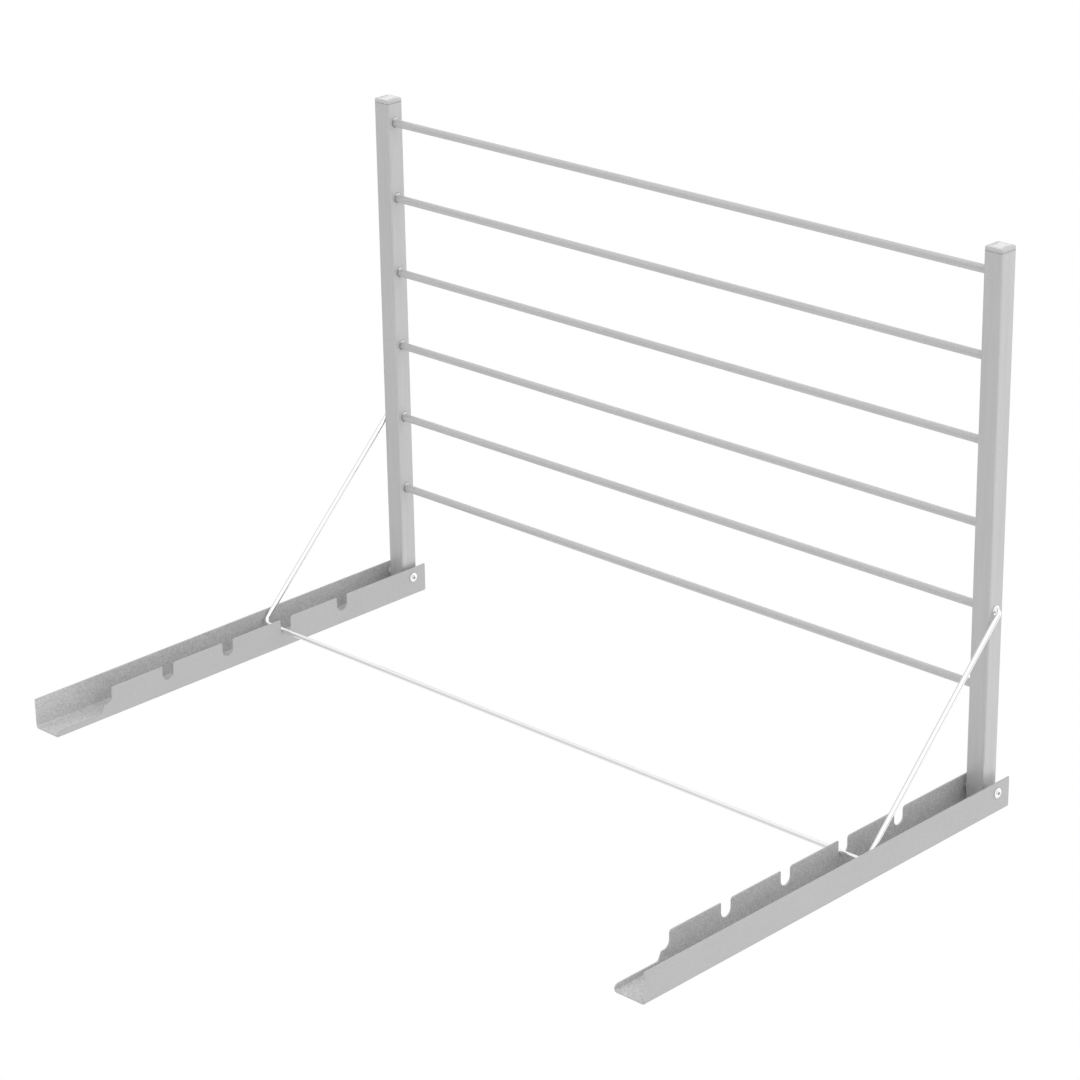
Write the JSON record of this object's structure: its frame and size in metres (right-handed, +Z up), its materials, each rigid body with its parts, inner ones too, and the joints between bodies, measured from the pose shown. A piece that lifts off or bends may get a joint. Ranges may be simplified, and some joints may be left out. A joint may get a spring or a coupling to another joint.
{
  "type": "wall mounted drying rack",
  "caption": "Fold-down wall drying rack: notched wall rails, ladder frame of round rods between square arms, hinged at the top and held level by a bent wire stay.",
  "frame": {"origin": "on the wall plane, in the middle of the four fixing screw holes", "axes": "+Z up the wall along the rails, +X along the rods, +Y into the wall: the rack stands out along -Y"},
  "size_m": [0.8186, 0.5475, 0.504],
  "materials": {
    "rail_paint": "fine-grained silver-grey powder coat",
    "frame_paint": "silver-grey powder coat",
    "rod_paint": "silver-grey powder coat",
    "cap_plastic": "moulded, satin",
    "stay_wire": "bright plated wire",
    "rivet_zinc": "bright zinc plate",
    "bush_zinc": "bright zinc plate",
    "spacer_nylon": "natural nylon"
  },
  "bodies": {
    "wall_rails": {"wall_rail_left": "rail_paint", "wall_rail_right": "rail_paint", "pivot_rivet_left": "rivet_zinc", "pivot_rivet_right": "rivet_zinc", "inner_spacer_left": "spacer_nylon", "inner_spacer_right": "spacer_nylon", "outer_spacer_left": "spacer_nylon", "outer_spacer_right": "spacer_nylon"},
    "frame": {"frame_arm_left": "frame_paint", "frame_arm_right": "frame_paint", "end_cap_left": "cap_plastic", "end_cap_right": "cap_plastic", "heel_plug_left": "cap_plastic", "heel_plug_right": "cap_plastic", "stay_bush_left": "bush_zinc", "stay_bush_right": "bush_zinc", "rod_1": "rod_paint", "rod_2": "rod_paint", "rod_3": "rod_paint", "rod_4": "rod_paint", "rod_5": "rod_paint", "rod_6": "rod_paint"},
    "stay_wire": {"stay": "stay_wire"}
  },
  "joints": [
    {"name": "frame_fold", "type": "hinge", "parent": "wall_rails", "child": "frame", "pos_m": [0, -0.0205, 0.2345], "axis": [-1, 0, 0], "range_deg": [-89.7, 0]},
    {"name": "stay_swing", "type": "hinge", "parent": "frame", "child": "stay_wire", "pos_m": [0, -0.2025, 0.2345], "axis": [-1, 0, 0], "range_deg": [-0.5, 132.1]}
  ],
  "couplings": [
    {"joint": "stay_swing", "follows": "frame_fold", "ratio": -1.4662}
  ]
}
